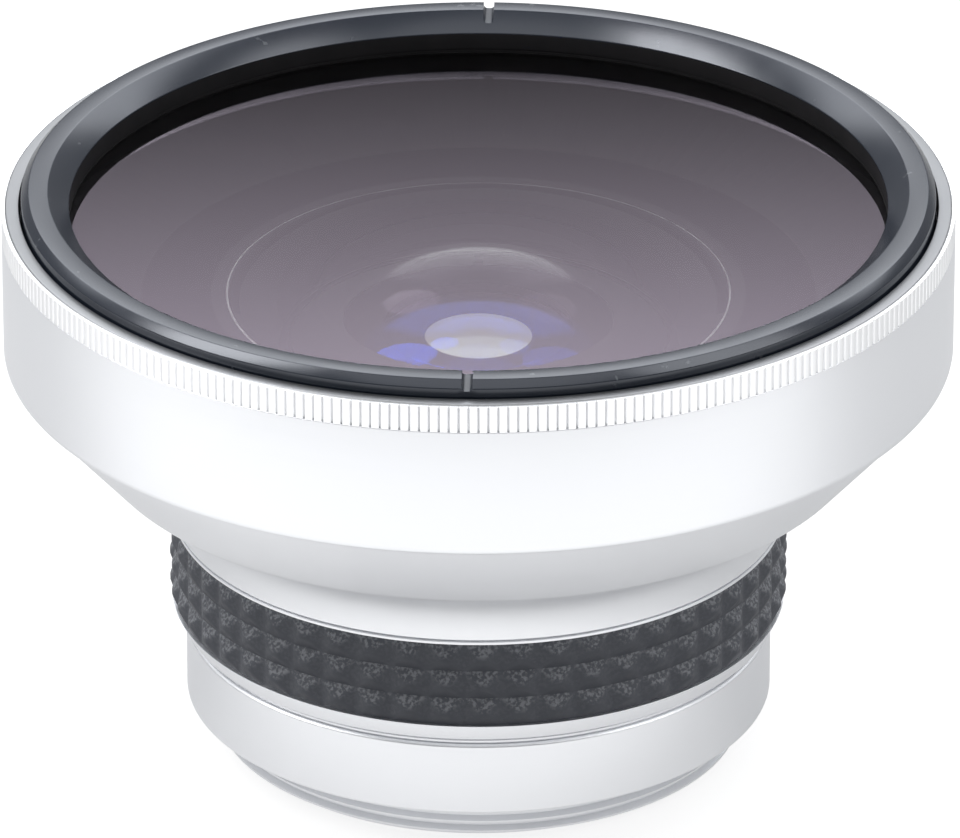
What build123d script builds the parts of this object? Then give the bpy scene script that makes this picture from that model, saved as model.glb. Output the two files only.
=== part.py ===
from build123d import *
from math import cos, pi, radians, sin, sqrt, tan
import os

# Screw-on fisheye conversion lens, standing on its rear thread with the front glass up.
# Millimetres. +Z is the optical axis towards the subject, and the origin is the centre of the
# rear thread's end face. Radii are built outwards or inwards from two driving sizes, the rear
# thread's diameter and the front glass's radius. Heights are stacked from the bottom up.

# Mount ring: male filter thread M37 x 0.75 below, female bore for the rear barrel above
mount_thread_diameter = 37.0
mount_thread_pitch = 0.75
mount_thread_length = 3.2
mount_thread_bevel_width = 1.05
mount_thread_bevel_height = 0.84
mount_thread_wall = 2.2
mount_floor_thickness = 1.15
mount_body_height = 5.35
mount_shoulder_width = 2.15
mount_relief_width = 0.1
mount_relief_depth = 0.1
mount_wall = 1.5
mount_edge_bevel = 0.15
mount_top_bevel = 0.25
mount_washer_thickness = 0.25
mount_washer_width = 1.2

# Rear barrel: carries the grip outside and the cemented doublet inside
rear_tenon_wall = 2.52
rear_tenon_gap = 0.1
rear_underside_height = 0.4
rear_underside_width = 0.7
rear_shoulder_height = 1.3
rear_shoulder_bevel = 0.65
rear_top_strip_height = 0.25
rear_seat_thickness = 1.0
rear_seat_width = 1.98
rear_wall_behind_grip = 1.0

# Rubber grip: three rows of square pyramids on a thin sleeve
grip_height = 6.25
grip_rows = 3
grip_columns = 52
grip_sleeve_thickness = 0.5
grip_pyramid_height = 0.45

# Rear doublet, its spacer, baffle and ring
doublet_height = 5.3
crown_edge_height = 1.5
crown_front_bulge = 0.93
cement_depth = 2.53
lens_seat_width = 1.0
rear_spacer_thickness = 0.3
rear_spacer_width = 0.85
rear_baffle_thickness = 0.25
rear_baffle_width = 2.3
rear_ring_recess = 0.25
rear_ring_height = 1.4
rear_ring_width = 1.75

# Section joint: the front section's tenon screws into the rear barrel's mouth
section_step = 0.7
section_tenon_end_gap = 0.25
section_washer_thickness = 0.15
section_washer_width = 1.5

# Front barrel, outside, from the neck up to the lip
neck_wall = 1.65
neck_strip_height = 0.1
cove_height = 5.55
cove_width_share = 0.4775
cove_middle_share = 0.36
step_width = 0.27
step_height = 0.24
cone_height = 6.26
drum_edge_width = 0.6
drum_edge_height = 0.7
edge_middle_share = 0.33
lip_wall = 1.22
lip_bevel = 0.12
knurl_height = 1.85
knurl_ridges = 312
knurl_depth = 0.22

# Inner cell and the second glass
front_tenon_wall = 1.45
cell_ledge_thickness = 1.0
cell_ledge_width = 1.95
cell_wall = 1.4
cell_floor_thickness = 0.9
cell_seat_width = 1.42
cell_rim_height = 0.3
cell_top_gap = 0.4
stop_thickness = 0.3
stop_opening_radius = 5.42
stop_flange_width = 3.8
stop_drop = 1.85
second_glass_edge_height = 5.2
second_glass_bulge = 3.0
second_dish_depth = 2.19
second_dish_radius = 8.6
second_washer_thickness = 0.2
second_washer_width = 1.5
second_ring_height = 1.4
second_ring_wall = 1.95
second_ring_width = 4.7
second_ring_lip = 0.35

# Front glass
front_glass_radius = 30.5
front_glass_edge_height = 8.8
front_glass_bulge = 0.27
front_glass_top_bevel = 0.2
front_dish_inset = 0.85
front_dish_depth = 9.25
front_seat_width = 5.05
front_gasket_thickness = 0.3
front_gasket_set_back = 0.15
ring_gasket_thickness = 0.25
ring_gasket_set_back = 0.05

# Front retaining ring and the recess that it screws into
ring_ledge_width = 1.4
ring_engagement = 1.3
ring_stand = 1.15
ring_gap = 0.16
ring_outer_bevel = 0.52
ring_flat_width = 1.36
ring_slope_width = 1.46
ring_slope_drop = 1.2
notch_width = 0.75
notch_depth = 0.69
notch_corner_radius = 0.25
notch_turn = 1.4

# Spanner slots in the two inner rings
spanner_slot_width = 1.0
spanner_slot_depth = 0.7

# Clearances
screw_clearance = 0.05
glass_clearance = 0.08
bevel_clearance = 0.15
overrun = 1.0

# Radii of the rear half, from the mount thread inwards and outwards
mount_thread_radius = mount_thread_diameter / 2
mount_opening_radius = mount_thread_radius - mount_thread_wall
mount_outer_radius = mount_thread_radius + mount_shoulder_width
mount_bore_radius = mount_outer_radius - mount_wall
rear_tenon_radius = mount_bore_radius - screw_clearance
doublet_bore_radius = rear_tenon_radius - rear_tenon_wall
doublet_radius = doublet_bore_radius - glass_clearance
section_tenon_radius = rear_tenon_radius + section_step
section_bore_radius = section_tenon_radius + screw_clearance
neck_radius = section_bore_radius + neck_wall
grip_seat_radius = section_bore_radius + rear_wall_behind_grip
grip_bore_radius = grip_seat_radius + screw_clearance
grip_base_radius = grip_bore_radius + grip_sleeve_thickness
grip_crest_radius = grip_base_radius + grip_pyramid_height
cell_bore_radius = section_tenon_radius - front_tenon_wall
cell_radius = cell_bore_radius - screw_clearance
second_glass_bore_radius = cell_radius - cell_wall
second_glass_radius = second_glass_bore_radius - glass_clearance

# Radii of the front half, from the cell's bore to the front glass's back, and from its edge outwards
front_dish_radius = cell_bore_radius - front_dish_inset
front_glass_face_radius = cell_bore_radius + front_seat_width
front_glass_bevel = front_glass_radius - front_glass_face_radius
glass_bore_radius = front_glass_radius + glass_clearance
ring_bore_radius = glass_bore_radius + ring_ledge_width
ring_outer_radius = ring_bore_radius - ring_gap
ring_inner_radius = ring_outer_radius - ring_outer_bevel - ring_flat_width - ring_slope_width
drum_radius = ring_bore_radius + lip_wall

# Heights of the mount ring and of the stack inside the rear barrel
mount_shoulder_z = mount_thread_length
mount_floor_z = mount_shoulder_z + mount_floor_thickness
mount_top_z = mount_shoulder_z + mount_body_height
rear_tenon_z = mount_floor_z + rear_tenon_gap
rear_ring_z = rear_tenon_z + rear_ring_recess
rear_baffle_z = rear_ring_z + rear_ring_height
flint_z = rear_baffle_z + rear_baffle_thickness
crown_z = flint_z + doublet_height
cement_rim_z = crown_z - crown_edge_height
rear_seat_z = crown_z + rear_spacer_thickness
rear_mouth_floor_z = rear_seat_z + rear_seat_thickness

# Heights outside, up to the foot of the front section
rear_shoulder_z = mount_top_z + mount_washer_thickness
grip_bottom_z = rear_shoulder_z + rear_underside_height + rear_shoulder_height
grip_top_z = grip_bottom_z + grip_height
rear_top_z = grip_top_z + rear_top_strip_height
front_foot_z = rear_top_z + section_washer_thickness

# Heights of the stack inside the front section
section_tenon_z = rear_mouth_floor_z + section_tenon_end_gap
cell_z = section_tenon_z + cell_ledge_thickness
stop_z = cell_z + cell_floor_thickness
second_glass_z = stop_z + stop_thickness
second_glass_top_z = second_glass_z + second_glass_edge_height
second_ring_z = second_glass_top_z + second_washer_thickness
second_ring_top_z = second_ring_z + second_ring_height
cell_top_z = second_ring_top_z + cell_rim_height
front_seat_z = cell_top_z + cell_top_gap
front_glass_z = front_seat_z + front_gasket_thickness
front_glass_bevel_z = front_glass_z + front_glass_bevel
front_glass_edge_z = front_glass_bevel_z + front_glass_edge_height
ring_seat_z = front_glass_edge_z + ring_gasket_thickness
lip_z = ring_seat_z + ring_engagement
ring_top_z = lip_z + ring_stand


def at(point):
    """A point of an outline, radius and height, in the XZ plane."""
    return (point[0], 0, point[1])


def turned(start, *steps):
    """Solid turned about Z. A step is a point, or a point on an arc together with the arc's end."""
    edges = []
    here = start
    for step in steps + (start,):
        if isinstance(step[0], tuple):
            end = step[1]
            edges.append(ThreePointArc(at(here), at(step[0]), at(end)))
        else:
            end = step
            edges.append(Line(at(here), at(end)))
        here = end
    return revolve(make_face(edges), Axis.Z)


def washer(inner_radius, outer_radius, bottom, top):
    """Plain flat ring."""
    return turned((inner_radius, bottom), (outer_radius, bottom), (outer_radius, top), (inner_radius, top))


def lens_face_middle(radius, depth, rim_z):
    """Point halfway out on a spherical lens face that rises by depth (falls, if negative) to its middle."""
    curve = (radius ** 2 + depth ** 2) / (2 * abs(depth))
    fall = curve - sqrt(curve ** 2 - (radius / 2) ** 2)
    apex_z = rim_z + depth
    return (radius / 2, apex_z - fall if depth > 0 else apex_z + fall)


def face_inwards(radius, depth, rim_z):
    """Step along a lens face from its rim to its middle on the axis."""
    return (lens_face_middle(radius, depth, rim_z), (0, rim_z + depth))


def face_outwards(radius, depth, rim_z):
    """Step along a lens face from its middle on the axis to its rim."""
    return (lens_face_middle(radius, depth, rim_z), (radius, rim_z))


def spanner_slots(outer_radius, face_z):
    """Bar across the axis that cuts two opposite spanner slots in a ring's face."""
    return Pos(0, 0, face_z) * Box(spanner_slot_width, 2 * (outer_radius + overrun), 2 * spanner_slot_depth)


def thread_groove(crest_radius, pitch, bottom, top):
    """Sixty degree helical groove of a metric thread: flat crest of an eighth pitch, flat root."""
    flank = tan(radians(30))
    depth = pitch * sqrt(3) / 2 * 17 / 24
    lift = pitch / 16
    root_radius = crest_radius - depth
    half_mouth = pitch * 7 / 16
    half_root = half_mouth - depth * flank
    half_lifted = half_mouth + lift * flank
    start_z = bottom - pitch / 2
    path = Helix(pitch=pitch, height=top - start_z, radius=root_radius, center=(0, 0, start_z))
    profile = make_face(
        Polyline(
            (root_radius, 0, start_z - half_root),
            (crest_radius + lift, 0, start_z - half_lifted),
            (crest_radius + lift, 0, start_z + half_lifted),
            (root_radius, 0, start_z + half_root),
            close=True,
        )
    )
    return sweep(profile, path=path, is_frenet=True)


def mount_ring():
    """Bottom ring: male filter thread, opening for the light and bore for the rear barrel."""
    run_out_radius = mount_thread_radius - mount_thread_pitch
    bevel_radius = mount_thread_radius - mount_thread_bevel_width
    thread_top_z = mount_shoulder_z - mount_thread_pitch / 2
    relief_radius = mount_thread_radius + mount_relief_width
    relief_z = mount_shoulder_z + mount_relief_depth
    body = turned(
        (mount_opening_radius, 0),
        (bevel_radius, 0),
        (mount_thread_radius, mount_thread_bevel_height),
        (mount_thread_radius, thread_top_z),
        (run_out_radius, thread_top_z),
        (run_out_radius, relief_z),
        (relief_radius, relief_z),
        (relief_radius, mount_shoulder_z),
        (mount_outer_radius - mount_edge_bevel, mount_shoulder_z),
        (mount_outer_radius, mount_shoulder_z + mount_edge_bevel),
        (mount_outer_radius, mount_top_z - mount_top_bevel),
        (mount_outer_radius - mount_top_bevel, mount_top_z),
        (mount_bore_radius, mount_top_z),
        (mount_bore_radius, mount_floor_z),
        (mount_opening_radius, mount_floor_z),
    )
    return body - thread_groove(mount_thread_radius, mount_thread_pitch, 0, thread_top_z)


def mount_washer():
    """Thin shim in the groove above the mount ring."""
    return washer(mount_bore_radius, mount_bore_radius + mount_washer_width, mount_top_z, rear_shoulder_z)


def rear_barrel():
    """Tube with a tenon below, grip seat and bevelled shoulder outside, lens seat inside."""
    shoulder_radius = grip_base_radius + grip_pyramid_height / 2
    shoulder_low_radius = shoulder_radius - rear_shoulder_bevel
    underside_z = rear_shoulder_z + rear_underside_height
    seat_opening_radius = doublet_bore_radius - rear_seat_width
    return turned(
        (doublet_bore_radius, rear_tenon_z),
        (rear_tenon_radius, rear_tenon_z),
        (rear_tenon_radius, rear_shoulder_z),
        (shoulder_low_radius - rear_underside_width, rear_shoulder_z),
        (shoulder_low_radius, underside_z),
        (shoulder_radius, grip_bottom_z),
        (grip_seat_radius, grip_bottom_z),
        (grip_seat_radius, grip_top_z),
        (neck_radius, grip_top_z),
        (neck_radius, rear_top_z),
        (section_bore_radius, rear_top_z),
        (section_bore_radius, rear_mouth_floor_z),
        (seat_opening_radius, rear_mouth_floor_z),
        (seat_opening_radius, rear_seat_z),
        (doublet_bore_radius, rear_seat_z),
    )


def rubber_grip():
    """Sleeve whose outside is a grid of square pyramids: a zigzag profile crossed with a star."""
    row_height = grip_height / grip_rows
    zigzag = [(grip_bore_radius, grip_bottom_z), (grip_base_radius, grip_bottom_z)]
    for row in range(grip_rows):
        zigzag.append((grip_crest_radius, grip_bottom_z + (row + 0.5) * row_height))
        zigzag.append((grip_base_radius, grip_bottom_z + (row + 1) * row_height))
    zigzag.append((grip_bore_radius, grip_top_z))
    sleeve = turned(*zigzag)
    star = []
    for corner in range(2 * grip_columns):
        radius = grip_crest_radius if corner % 2 else grip_base_radius
        angle = corner * pi / grip_columns
        star.append((radius * cos(angle), radius * sin(angle)))
    prism = extrude(make_face(Polyline(*star, close=True)), amount=grip_height)
    return sleeve & (Pos(0, 0, grip_bottom_z) * prism)


def section_washer():
    """Thin washer on which the front section lands."""
    outer_radius = section_bore_radius + section_washer_width
    return washer(section_bore_radius, outer_radius, rear_top_z, front_foot_z)


def knurl_ring(inner_radius, bottom, top):
    """Band of fine straight ridges, as a star-shaped ring."""
    star = []
    for corner in range(2 * knurl_ridges):
        radius = drum_radius if corner % 2 else drum_radius - knurl_depth
        angle = corner * pi / knurl_ridges
        star.append((radius * cos(angle), radius * sin(angle)))
    band = extrude(make_face(Polyline(*star, close=True)), amount=top - bottom)
    hole = Cylinder(inner_radius, top - bottom, align=(Align.CENTER, Align.CENTER, Align.MIN))
    return Pos(0, 0, bottom) * (band - hole)


def front_barrel():
    """Drum, cone and coved neck in one piece, stepped inside for the ring, the glass and the cell."""
    knurl_root_radius = drum_radius - knurl_depth
    knurl_top_z = lip_z - lip_bevel
    knurl_bottom_z = knurl_top_z - knurl_height
    edge_radius = drum_radius - drum_edge_width
    cove_width = (edge_radius - neck_radius) * cove_width_share
    step_radius = neck_radius + cove_width
    cove_z = front_foot_z + neck_strip_height
    step_z = cove_z + cove_height
    cone_z = step_z + step_height
    edge_z = cone_z + cone_height
    cove_middle = (neck_radius + cove_width * cove_middle_share, step_z - cove_height * cove_middle_share)
    edge_middle = (
        drum_radius - drum_edge_width * edge_middle_share,
        edge_z + drum_edge_height * edge_middle_share,
    )
    seat_bore_z = front_glass_bevel_z + glass_clearance - bevel_clearance
    seat_cone_radius = front_glass_face_radius + bevel_clearance
    ledge_opening_radius = cell_bore_radius - cell_ledge_width
    body = turned(
        (ledge_opening_radius, section_tenon_z),
        (section_tenon_radius, section_tenon_z),
        (section_tenon_radius, front_foot_z),
        (neck_radius, front_foot_z),
        (neck_radius, cove_z),
        (cove_middle, (step_radius, step_z)),
        (step_radius + step_width, cone_z),
        (edge_radius, edge_z),
        (edge_middle, (drum_radius, edge_z + drum_edge_height)),
        (drum_radius, knurl_bottom_z),
        (knurl_root_radius, knurl_bottom_z),
        (knurl_root_radius, knurl_top_z),
        (knurl_root_radius - lip_bevel, lip_z),
        (ring_bore_radius, lip_z),
        (ring_bore_radius, front_glass_edge_z),
        (glass_bore_radius, front_glass_edge_z),
        (glass_bore_radius, seat_bore_z),
        (seat_cone_radius, front_glass_z),
        (seat_cone_radius, front_seat_z),
        (cell_bore_radius, front_seat_z),
        (cell_bore_radius, cell_z),
        (ledge_opening_radius, cell_z),
    )
    return body + knurl_ring(ring_bore_radius + lip_bevel, knurl_bottom_z, knurl_top_z)


def front_retaining_ring():
    """Black ring that clamps the front glass, with two round-cornered spanner notches across its top."""
    flat_outer_radius = ring_outer_radius - ring_outer_bevel
    flat_inner_radius = flat_outer_radius - ring_flat_width
    ring = turned(
        (ring_inner_radius, ring_seat_z),
        (ring_outer_radius, ring_seat_z),
        (ring_outer_radius, ring_top_z - ring_outer_bevel),
        (flat_outer_radius, ring_top_z),
        (flat_inner_radius, ring_top_z),
        (ring_inner_radius, ring_top_z - ring_slope_drop),
    )
    section = RectangleRounded(notch_width, 2 * notch_depth, notch_corner_radius)
    notches = extrude(Pos(0, 0, ring_top_z) * Rot(90, 0, 0) * section, amount=ring_outer_radius + overrun, both=True)
    return ring - Rot(0, 0, -notch_turn) * notches


def ring_gasket():
    """Soft ring between the retaining ring and the front glass."""
    inner_radius = ring_inner_radius + ring_gasket_set_back
    return washer(inner_radius, front_glass_radius, front_glass_edge_z, ring_seat_z)


def front_element():
    """Heavy front glass: nearly flat front, straight edge, bevelled back, deep round hollow behind."""
    return turned(
        (0, front_glass_edge_z + front_glass_bulge),
        face_outwards(ring_inner_radius, front_glass_bulge, front_glass_edge_z),
        (front_glass_radius - front_glass_top_bevel, front_glass_edge_z),
        (front_glass_radius, front_glass_edge_z - front_glass_top_bevel),
        (front_glass_radius, front_glass_bevel_z),
        (front_glass_face_radius, front_glass_z),
        (front_dish_radius, front_glass_z),
        face_inwards(front_dish_radius, front_dish_depth, front_glass_z),
    )


def front_gasket():
    """Soft ring under the front glass, on the barrel's inner shelf."""
    inner_radius = cell_bore_radius + front_gasket_set_back
    return washer(inner_radius, front_glass_face_radius, front_seat_z, front_glass_z)


def inner_cell():
    """Black cup on the ledge at the bottom of the front barrel."""
    opening_radius = second_glass_radius - cell_seat_width
    return turned(
        (opening_radius, cell_z),
        (cell_radius, cell_z),
        (cell_radius, cell_top_z),
        (second_glass_bore_radius, cell_top_z),
        (second_glass_bore_radius, stop_z),
        (opening_radius, stop_z),
    )


def aperture_stop():
    """Thin black plate, dished down to the small opening of the light path."""
    flange_radius = second_glass_radius - stop_flange_width
    opening_z = stop_z - stop_drop
    return turned(
        (stop_opening_radius, opening_z),
        (flange_radius, stop_z),
        (second_glass_radius, stop_z),
        (second_glass_radius, second_glass_z),
        (flange_radius, second_glass_z),
        (stop_opening_radius, opening_z + stop_thickness),
    )


def second_element():
    """Second glass, curved outwards in front and hollow behind."""
    face_radius = second_glass_radius - second_washer_width
    return turned(
        (0, second_glass_top_z + second_glass_bulge),
        face_outwards(face_radius, second_glass_bulge, second_glass_top_z),
        (second_glass_radius, second_glass_top_z),
        (second_glass_radius, second_glass_z),
        (second_dish_radius, second_glass_z),
        face_inwards(second_dish_radius, second_dish_depth, second_glass_z),
    )


def second_washer():
    """Soft washer on the second glass."""
    inner_radius = second_glass_radius - second_washer_width
    return washer(inner_radius, second_glass_radius, second_glass_top_z, second_ring_z)


def second_retaining_ring():
    """Slotted ring screwed into the cell, with a thin lip that reaches in over the second glass."""
    outer_radius = second_glass_bore_radius - screw_clearance
    wall_radius = outer_radius - second_ring_wall
    lip_radius = outer_radius - second_ring_width
    lip_bottom_z = second_ring_top_z - second_ring_lip
    ring = turned(
        (wall_radius, second_ring_z),
        (outer_radius, second_ring_z),
        (outer_radius, second_ring_top_z),
        (lip_radius, second_ring_top_z),
        (lip_radius, lip_bottom_z),
        (wall_radius, lip_bottom_z),
    )
    return ring - spanner_slots(outer_radius, second_ring_top_z)


def rear_spacer():
    """Thin black ring between the barrel's seat and the doublet."""
    return washer(doublet_radius - rear_spacer_width, doublet_radius, crown_z, rear_seat_z)


def rear_crown():
    """Front half of the doublet, curved outwards on both faces."""
    return turned(
        (0, crown_z + crown_front_bulge),
        face_outwards(doublet_radius - lens_seat_width, crown_front_bulge, crown_z),
        (doublet_radius, crown_z),
        (doublet_radius, cement_rim_z),
        face_inwards(doublet_radius, -cement_depth, cement_rim_z),
    )


def rear_flint():
    """Back half of the doublet, hollow where it is cemented and flat behind."""
    return turned(
        (0, cement_rim_z - cement_depth),
        face_outwards(doublet_radius, -cement_depth, cement_rim_z),
        (doublet_radius, flint_z),
        (0, flint_z),
    )


def rear_baffle():
    """Thin black washer behind the doublet."""
    return washer(doublet_radius - rear_baffle_width, doublet_radius, rear_baffle_z, flint_z)


def rear_retaining_ring():
    """Slotted ring screwed into the rear barrel from behind."""
    outer_radius = doublet_bore_radius - screw_clearance
    ring = washer(outer_radius - rear_ring_width, outer_radius, rear_ring_z, rear_baffle_z)
    return ring - spanner_slots(outer_radius, rear_ring_z)


os.makedirs("parts", exist_ok=True)
for piece in (
    mount_ring,
    mount_washer,
    rear_barrel,
    rubber_grip,
    section_washer,
    front_barrel,
    front_retaining_ring,
    ring_gasket,
    front_element,
    front_gasket,
    inner_cell,
    aperture_stop,
    second_element,
    second_washer,
    second_retaining_ring,
    rear_spacer,
    rear_crown,
    rear_flint,
    rear_baffle,
    rear_retaining_ring,
):
    export_step(piece(), os.path.join("parts", piece.__name__ + ".step"))
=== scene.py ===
from math import cos, pi, radians, sin, sqrt

import bpy
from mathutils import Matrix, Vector


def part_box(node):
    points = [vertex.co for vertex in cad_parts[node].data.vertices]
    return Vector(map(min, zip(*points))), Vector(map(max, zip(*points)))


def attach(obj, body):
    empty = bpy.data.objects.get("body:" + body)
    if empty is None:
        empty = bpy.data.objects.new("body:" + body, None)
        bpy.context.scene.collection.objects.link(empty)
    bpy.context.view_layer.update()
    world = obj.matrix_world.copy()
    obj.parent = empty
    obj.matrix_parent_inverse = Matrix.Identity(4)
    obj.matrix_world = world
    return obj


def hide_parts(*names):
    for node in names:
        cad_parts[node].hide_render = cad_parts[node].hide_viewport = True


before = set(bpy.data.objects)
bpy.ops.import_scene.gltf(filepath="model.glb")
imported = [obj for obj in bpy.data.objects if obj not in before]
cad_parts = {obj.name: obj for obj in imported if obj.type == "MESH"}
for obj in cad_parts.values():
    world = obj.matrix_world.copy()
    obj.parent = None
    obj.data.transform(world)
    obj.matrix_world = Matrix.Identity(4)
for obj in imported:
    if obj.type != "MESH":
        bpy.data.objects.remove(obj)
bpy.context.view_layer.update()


# Mount ring: the foot of the lens, turned in aluminium, blasted and clear anodised. Its male
# filter thread is cut below the shoulder, and the rear barrel screws into its bore from above.

mm = 0.001
ease_steps = 3
ease_share = 0.4
arc_point_turn = radians(14)
sharp_turn = radians(38)
turned_segments = 256
ring_segments = 192
noise_spread = (0.3, 0.7)
noise_sum_spread = (0.6, 1.4)


def socket_values(made, inputs):
    """Gives a node's inputs their values, or links them to the sockets that are given instead."""
    for name, value in inputs.items():
        if isinstance(value, bpy.types.NodeSocket):
            made.id_data.links.new(value, made.inputs[name])
        else:
            made.inputs[name].default_value = value


def node(tree, kind, inputs=None, **settings):
    """New node in a tree, with its settings and inputs."""
    made = tree.nodes.new(kind)
    for name, value in settings.items():
        setattr(made, name, value)
    socket_values(made, inputs or {})
    return made


def calc(tree, operation, *values):
    """Result of a Math node."""
    made = node(tree, "ShaderNodeMath", operation=operation)
    socket_values(made, dict(enumerate(values)))
    return made.outputs[0]


def ranged(tree, value, low, high, to_low, to_high):
    """A value carried over from one range to another, and held at its ends."""
    inputs = {"Value": value, "From Min": low, "From Max": high, "To Min": to_low, "To Max": to_high}
    return node(tree, "ShaderNodeMapRange", inputs).outputs["Result"]


def grain(tree, scale, detail=2.0, stretch=(1, 1, 1)):
    """Noise in the piece's own space, with so many grains to the metre."""
    place = node(tree, "ShaderNodeTexCoord").outputs["Object"]
    spread = node(tree, "ShaderNodeMapping", {"Vector": place, "Scale": stretch}).outputs[0]
    return node(tree, "ShaderNodeTexNoise", {"Vector": spread, "Scale": scale, "Detail": detail}).outputs[0]


def blended(tree, share, one, other):
    """Colour between two colours."""
    made = node(tree, "ShaderNodeMix", data_type="RGBA")
    socket_values(made, {0: share, 6: (*one, 1), 7: (*other, 1)})
    return made.outputs[2]


def new_material(name, **inputs):
    """Material with a Principled shader: returns it, its tree and the shader."""
    made = bpy.data.materials.new(name)
    made.use_nodes = True
    skin = made.node_tree.nodes["Principled BSDF"]
    socket_values(skin, {key.replace("_", " "): value for key, value in inputs.items()})
    return made, made.node_tree, skin


def bumpy(tree, skin, height, strength, depth):
    """Gives a shader fine bumps of so much depth."""
    bump = node(tree, "ShaderNodeBump", {"Strength": strength, "Distance": depth, "Height": height})
    socket_values(skin, {"Normal": bump.outputs[0]})


def satin_aluminium(name, dull, bright):
    """Blasted aluminium under a clear anodised film: pale, broad sheen, with faint turning lines below it."""
    made, tree, skin = new_material(name, Metallic=1.0)
    cloud = grain(tree, cloud_grains, 4)
    blasting = grain(tree, blasting_grains, 3)
    turning = grain(tree, turning_grains, 2, turning_stretch)
    socket_values(skin, {
        "Base Color": blended(tree, cloud, dull, bright),
        "Roughness": ranged(tree, calc(tree, "ADD", cloud, turning), *noise_sum_spread, *satin_roughness),
    })
    height = calc(tree, "ADD", blasting, calc(tree, "MULTIPLY", turning, turning_share))
    bumpy(tree, skin, height, blasting_strength, blasting_depth)
    return made


def arc(start, middle, end, steps):
    """Points after start on the arc through three points, up to its end."""
    (ax, ay), (bx, by), (cx, cy) = start, middle, end
    across = 2 * (ax * (by - cy) + bx * (cy - ay) + cx * (ay - by))
    a, b, c = ax * ax + ay * ay, bx * bx + by * by, cx * cx + cy * cy
    centre = Vector((
        (a * (by - cy) + b * (cy - ay) + c * (ay - by)) / across,
        (a * (cx - bx) + b * (ax - cx) + c * (bx - ax)) / across,
    ))
    from_centre = Vector(start) - centre
    sweep = from_centre.angle_signed(Vector(end) - centre)
    points = []
    for step in range(1, steps + 1):
        turn = -sweep * step / steps
        x = from_centre.x * cos(turn) - from_centre.y * sin(turn)
        y = from_centre.x * sin(turn) + from_centre.y * cos(turn)
        points.append((centre.x + x, centre.y + y))
    points[-1] = end
    return points


def corner_points(before, corner, after, ease):
    """A corner of an outline, rounded off as a tool and its polishing leave it."""
    here = Vector(corner)
    back, on = Vector(before) - here, Vector(after) - here
    if not ease or pi - back.angle(on) < arc_point_turn:
        return [corner]
    reach = min(ease, ease_share * back.length, ease_share * on.length)
    start, end = here + back.normalized() * reach, here + on.normalized() * reach
    shares = [step / ease_steps for step in range(ease_steps + 1)]
    return [tuple(start * (1 - t) ** 2 + here * 2 * t * (1 - t) + end * t ** 2) for t in shares]


def turned(name, start, *stretches, ease=0.0, segments=turned_segments):
    """Piece turned about the axis. Its outline of radii and heights runs anticlockwise from its start.

    Each stretch is a material and the points that the outline reaches with it. The last one closes the
    outline, unless both its ends are on the axis."""
    corners, finishes = [start], [len(stretches) - 1]
    for number, (finish, points) in enumerate(stretches):
        corners += points
        finishes += [number] * len(points)
    solid_middle = corners[0][0] == 0 and corners[-1][0] == 0
    rows, row_finishes = [], []
    for i, corner in enumerate(corners):
        is_end = solid_middle and i in (0, len(corners) - 1)
        rounded = [corner] if is_end else corner_points(
            corners[i - 1], corner, corners[(i + 1) % len(corners)], ease)
        rows += rounded
        row_finishes += [finishes[i]] * len(rounded)
    vertices, row_vertices = [], []
    for radius, height in rows:
        count = 1 if radius == 0 else segments
        row_vertices.append([len(vertices) + j % count for j in range(segments + 1)])
        for j in range(count):
            angle = 2 * pi * j / segments
            vertices.append((radius * cos(angle), radius * sin(angle), height))
    faces, face_finishes = [], []
    for i in range(1 if solid_middle else 0, len(rows)):
        below, above = row_vertices[i - 1], row_vertices[i]
        for j in range(segments):
            face = (below[j], below[j + 1], above[j + 1], above[j])
            faces.append(tuple(dict.fromkeys(face)))
            face_finishes.append(row_finishes[i])
    mesh = bpy.data.meshes.new(name)
    mesh.from_pydata(vertices, [], faces)
    for finish, _ in stretches:
        mesh.materials.append(finish)
    mesh.polygons.foreach_set("material_index", face_finishes)
    return placed(name, mesh)


def placed(name, mesh):
    """Object of a mesh, smooth but for its sharp edges."""
    mesh.polygons.foreach_set("use_smooth", [True] * len(mesh.polygons))
    mesh.set_sharp_from_angle(angle=sharp_turn)
    piece = bpy.data.objects.new(name, mesh)
    bpy.context.scene.collection.objects.link(piece)
    return piece


def plain_mesh(piece):
    """Turns what a piece's modifiers make into its own mesh, and takes the modifiers off."""
    evaluated = piece.evaluated_get(bpy.context.evaluated_depsgraph_get())
    mesh = bpy.data.meshes.new_from_object(evaluated)
    piece.modifiers.clear()
    piece.data = mesh
    mesh.set_sharp_from_angle(angle=sharp_turn)


def new_tree(name, float_inputs):
    """Geometry tree with a geometry and a material input, and the named sizes: returns it and its ends."""
    tree = bpy.data.node_groups.new(name, "GeometryNodeTree")
    tree.interface.new_socket("Geometry", in_out="INPUT", socket_type="NodeSocketGeometry")
    for size in float_inputs:
        tree.interface.new_socket(size, in_out="INPUT", socket_type="NodeSocketFloat")
    tree.interface.new_socket("Finish", in_out="INPUT", socket_type="NodeSocketMaterial")
    tree.interface.new_socket("Geometry", in_out="OUTPUT", socket_type="NodeSocketGeometry")
    return tree, node(tree, "NodeGroupInput"), node(tree, "NodeGroupOutput")


def close_tree(tree, ends, geometry):
    """Ends a tree: its instances made real and its material set."""
    real = node(tree, "GeometryNodeRealizeInstances", {0: geometry})
    finish = ends[0].outputs["Finish"]
    finished = node(tree, "GeometryNodeSetMaterial", {0: real.outputs[0], "Material": finish})
    socket_values(ends[1], {0: finished.outputs[0]})


def grown(piece, tree, **values):
    """Runs a geometry tree on a piece with the named values, and keeps what it makes as a plain mesh."""
    modifier = piece.modifiers.new(tree.name, "NODES")
    modifier.node_group = tree
    for item in tree.interface.items_tree:
        if item.in_out == "INPUT" and item.name != "Geometry":
            modifier[item.identifier] = values[item.name.lower().replace(" ", "_")]
    plain_mesh(piece)


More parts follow.
